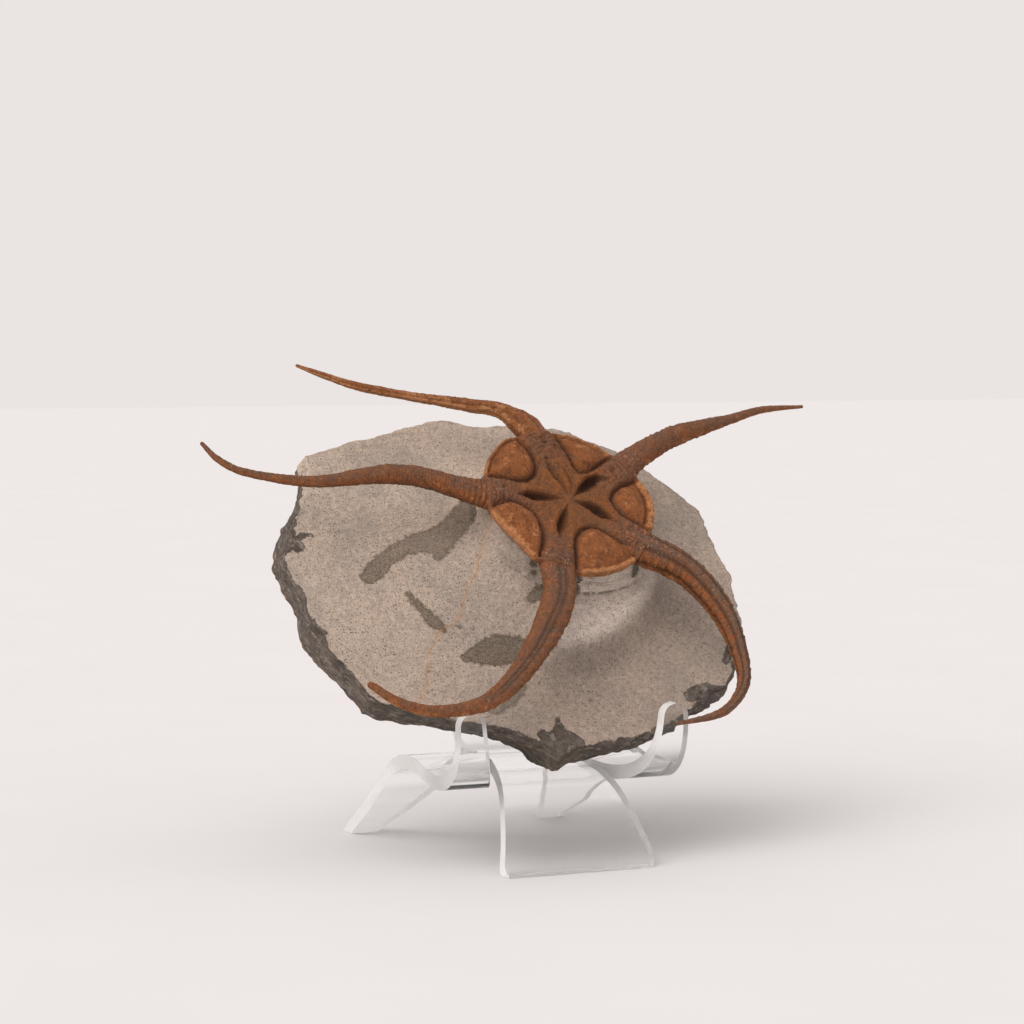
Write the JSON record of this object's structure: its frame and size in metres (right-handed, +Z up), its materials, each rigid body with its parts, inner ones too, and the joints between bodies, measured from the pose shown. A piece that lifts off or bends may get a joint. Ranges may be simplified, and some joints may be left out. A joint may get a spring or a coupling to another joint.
{
  "type": "brittle star fossil on display easel",
  "caption": "Brittle star fossil with free-standing arms on a raised boss of its grey rock slab, leaning on a clear bent-sheet easel.",
  "frame": {"origin": "on the surface it stands on, under the middle of the object's box", "axes": "+X to the right along the object's longest side, -Y to the front that the fossil faces, +Z up"},
  "size_m": [0.1496, 0.082, 0.1058],
  "materials": {
    "matrix_rock": "sanded matt limestone, chipped at the edge",
    "fossil": "matt orange-brown fossil with a faint sheen",
    "clear_acrylic": "polished clear sheet"
  },
  "bodies": {
    "root": {"matrix_slab": "matrix_rock", "star_disc": "fossil", "arm_upper_left": "fossil", "arm_left": "fossil", "arm_lower": "fossil", "arm_lower_right": "fossil", "arm_upper_right": "fossil", "display_stand": "clear_acrylic"}
  },
  "joints": []
}
